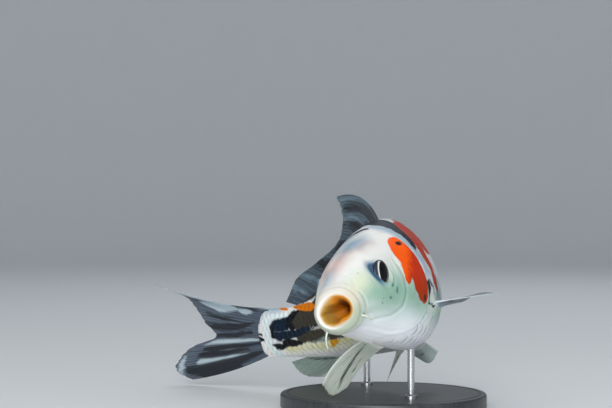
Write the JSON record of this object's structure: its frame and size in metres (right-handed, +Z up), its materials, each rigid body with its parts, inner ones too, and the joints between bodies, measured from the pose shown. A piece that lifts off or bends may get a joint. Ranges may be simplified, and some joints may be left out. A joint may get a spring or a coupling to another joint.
{
  "type": "koi carp",
  "caption": "Life-size model of a young koi carp turning to its right with its mouth open, held on a round display base by short upright rods.",
  "frame": {"origin": "centre of the underside of the display base", "axes": "+Z up, square to the base; the picture's viewer looks along +Y with +X to the right, and the fish's head points mostly along -Y"},
  "size_m": [0.1523, 0.1754, 0.0909],
  "materials": {
    "skin": "wet white skin with orange, blue-black and grey patches under thin smooth scales",
    "fin": "thin translucent grey-blue fin with fine rays, streaked black on the tail",
    "barbel": "smooth pale feeler",
    "eye": "glossy eye with a black pupil in a cream ring",
    "stand_base": "turned disc in satin charcoal stain",
    "stand_rod": "brushed round rod"
  },
  "bodies": {
    "root": {"head": "skin", "trunk_front": "skin", "trunk_middle": "skin", "trunk_rear": "skin", "tail_stem": "skin", "dorsal_fin": "fin", "anal_fin": "fin", "caudal_fin_upper": "fin", "caudal_fin_lower": "fin", "pectoral_fin_left": "fin", "pectoral_fin_right": "fin", "pelvic_fin_left": "fin", "pelvic_fin_right": "fin", "barbel_left": "barbel", "barbel_right": "barbel", "upper_barbel_left": "barbel", "upper_barbel_right": "barbel", "eye_left": "eye", "eye_right": "eye", "stand_base": "stand_base", "stand_rod_front": "stand_rod", "stand_rod_rear": "stand_rod"}
  },
  "joints": []
}
